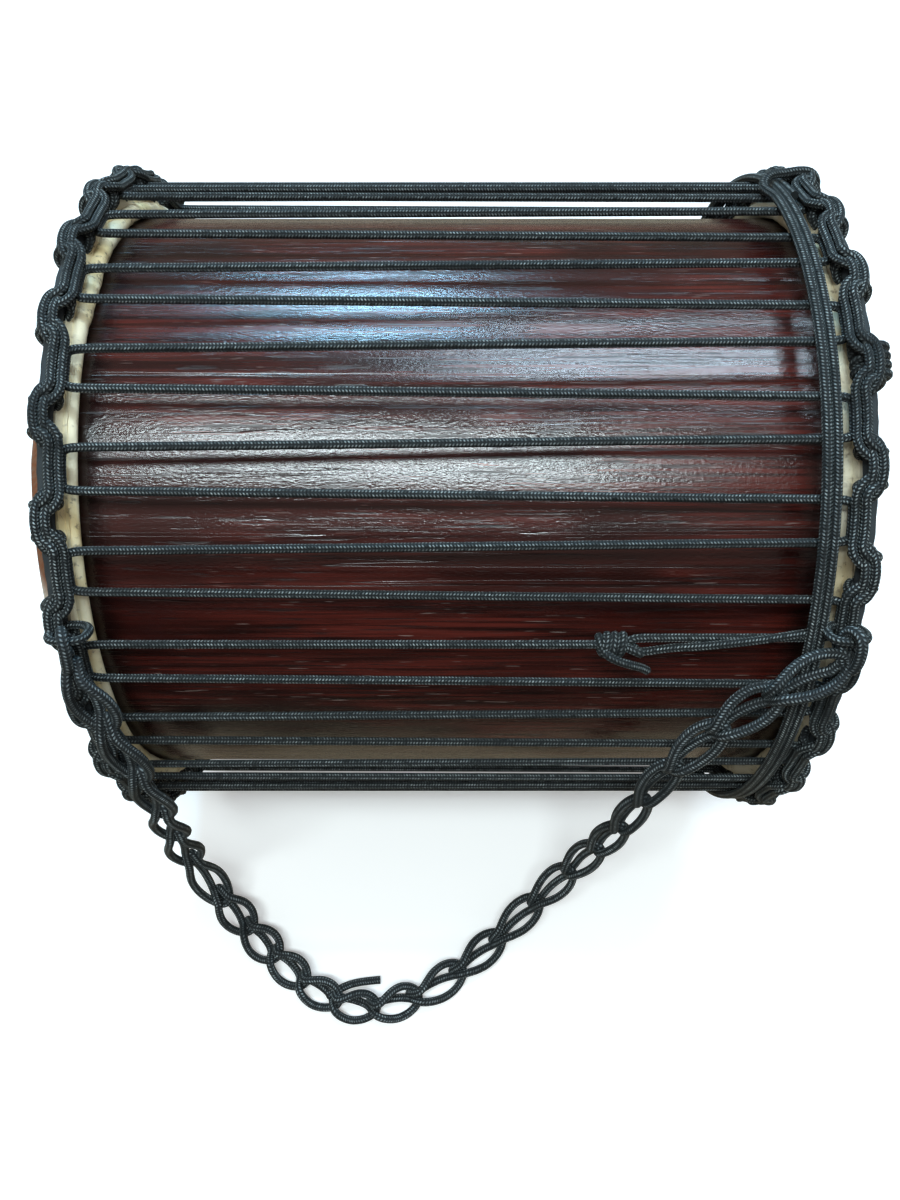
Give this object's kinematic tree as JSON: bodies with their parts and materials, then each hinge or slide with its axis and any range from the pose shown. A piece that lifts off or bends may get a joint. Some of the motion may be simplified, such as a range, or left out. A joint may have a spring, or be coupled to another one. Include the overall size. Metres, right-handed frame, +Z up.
{
  "type": "double-headed rope-tuned drum",
  "caption": "Cylindrical wooden drum lying on its side, a rawhide head at each end on iron hoops, laced lengthwise with dark rope, with a chain-plaited rope strap hinged at the rims.",
  "frame": {"origin": "on the floor under the middle of the drum, which lies on its side", "axes": "+X along the drum's axis towards the end with the reserve winding, +Y to the back, +Z up; the strap lies in front"},
  "size_m": [0.3922, 0.4767, 0.3857],
  "materials": {
    "shell_wood": "gloss varnish",
    "rawhide": "dry rawhide",
    "iron": "dull",
    "cloth": "matt cloth",
    "rope": "braided polyester",
    "strap_rope": "braided polyester"
  },
  "bodies": {
    "drum": {"shell": "shell_wood", "tension_rope": "rope", "tie_knot": "rope", "reserve_winding": "rope", "head_left": "rawhide", "flesh_hoop_left": "iron", "crown_hoop_left": "iron", "hoop_wrap_left": "cloth", "loop_rope_left": "rope", "strap_hitch_left": "rope", "head_right": "rawhide", "flesh_hoop_right": "iron", "crown_hoop_right": "iron", "hoop_wrap_right": "cloth", "loop_rope_right": "rope", "strap_hitch_right": "rope"},
    "carrying_strap": {"strap": "strap_rope", "strap_eye_left": "strap_rope", "strap_eye_right": "strap_rope", "strap_tail": "strap_rope"}
  },
  "joints": [
    {"name": "strap_swing", "type": "hinge", "parent": "drum", "child": "carrying_strap", "pos_m": [0, -0.17205, 0.29787], "axis": [-1, 0, 0], "range_deg": [0, 150]}
  ]
}
